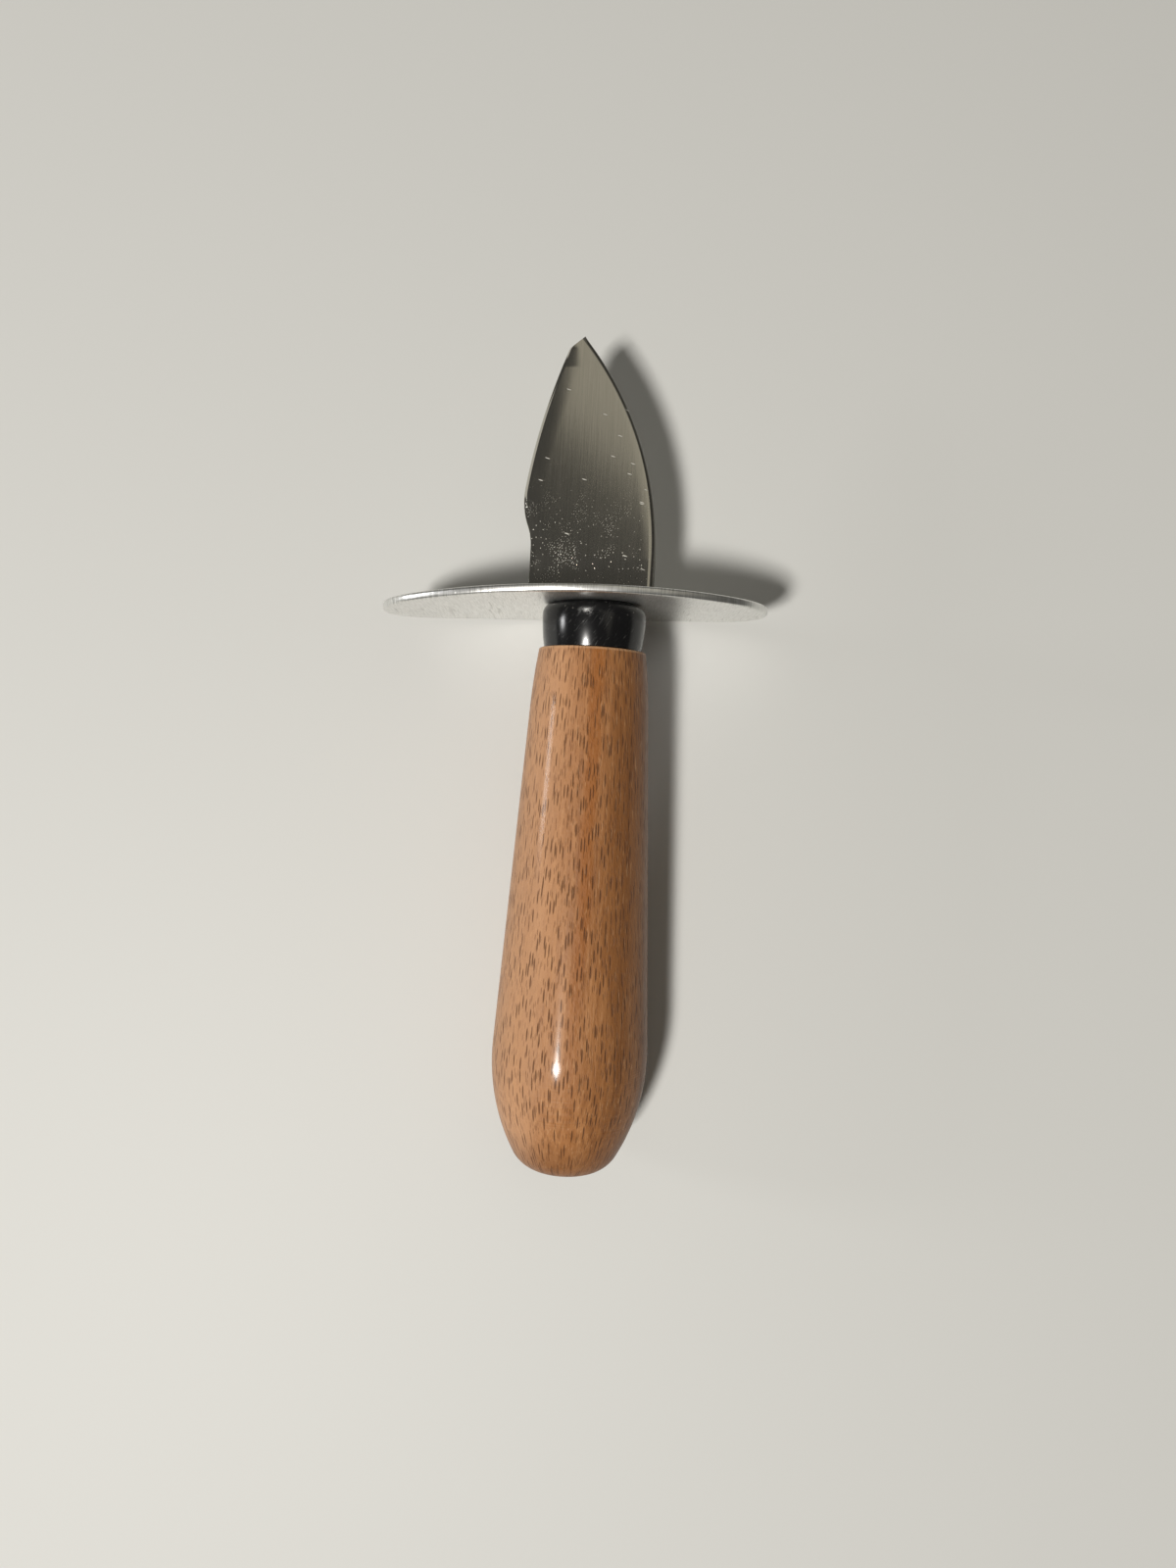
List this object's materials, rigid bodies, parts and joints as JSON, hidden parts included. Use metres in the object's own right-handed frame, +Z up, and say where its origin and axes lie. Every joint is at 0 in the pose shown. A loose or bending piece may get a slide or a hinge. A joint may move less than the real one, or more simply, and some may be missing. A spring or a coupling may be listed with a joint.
{
  "type": "oyster knife",
  "caption": "Oyster knife with a short leaf-shaped steel blade, an oval dished hand guard, a black ferrule and a turned beech handle.",
  "frame": {"origin": "on the table, midway between the guard's two ends and midway between the butt and the tip", "axes": "+Y along the knife towards the tip, +Z up from the table, +X across the guard towards the blade's thick spine. The knife lies as it rests, on the guard's lower edge and the handle's belly, so its own axis rises about 4 degrees towards the tip."},
  "size_m": [0.0716, 0.156, 0.041],
  "materials": {
    "blade_steel": "polished",
    "guard_steel": "fine brushed",
    "ferrule_plastic": "gloss",
    "handle_wood": "satin lacquer",
    "adhesive": "matt"
  },
  "bodies": {
    "root": {"blade": "blade_steel", "guard": "guard_steel", "ferrule": "ferrule_plastic", "handle": "handle_wood", "tang_adhesive": "adhesive"}
  },
  "joints": []
}
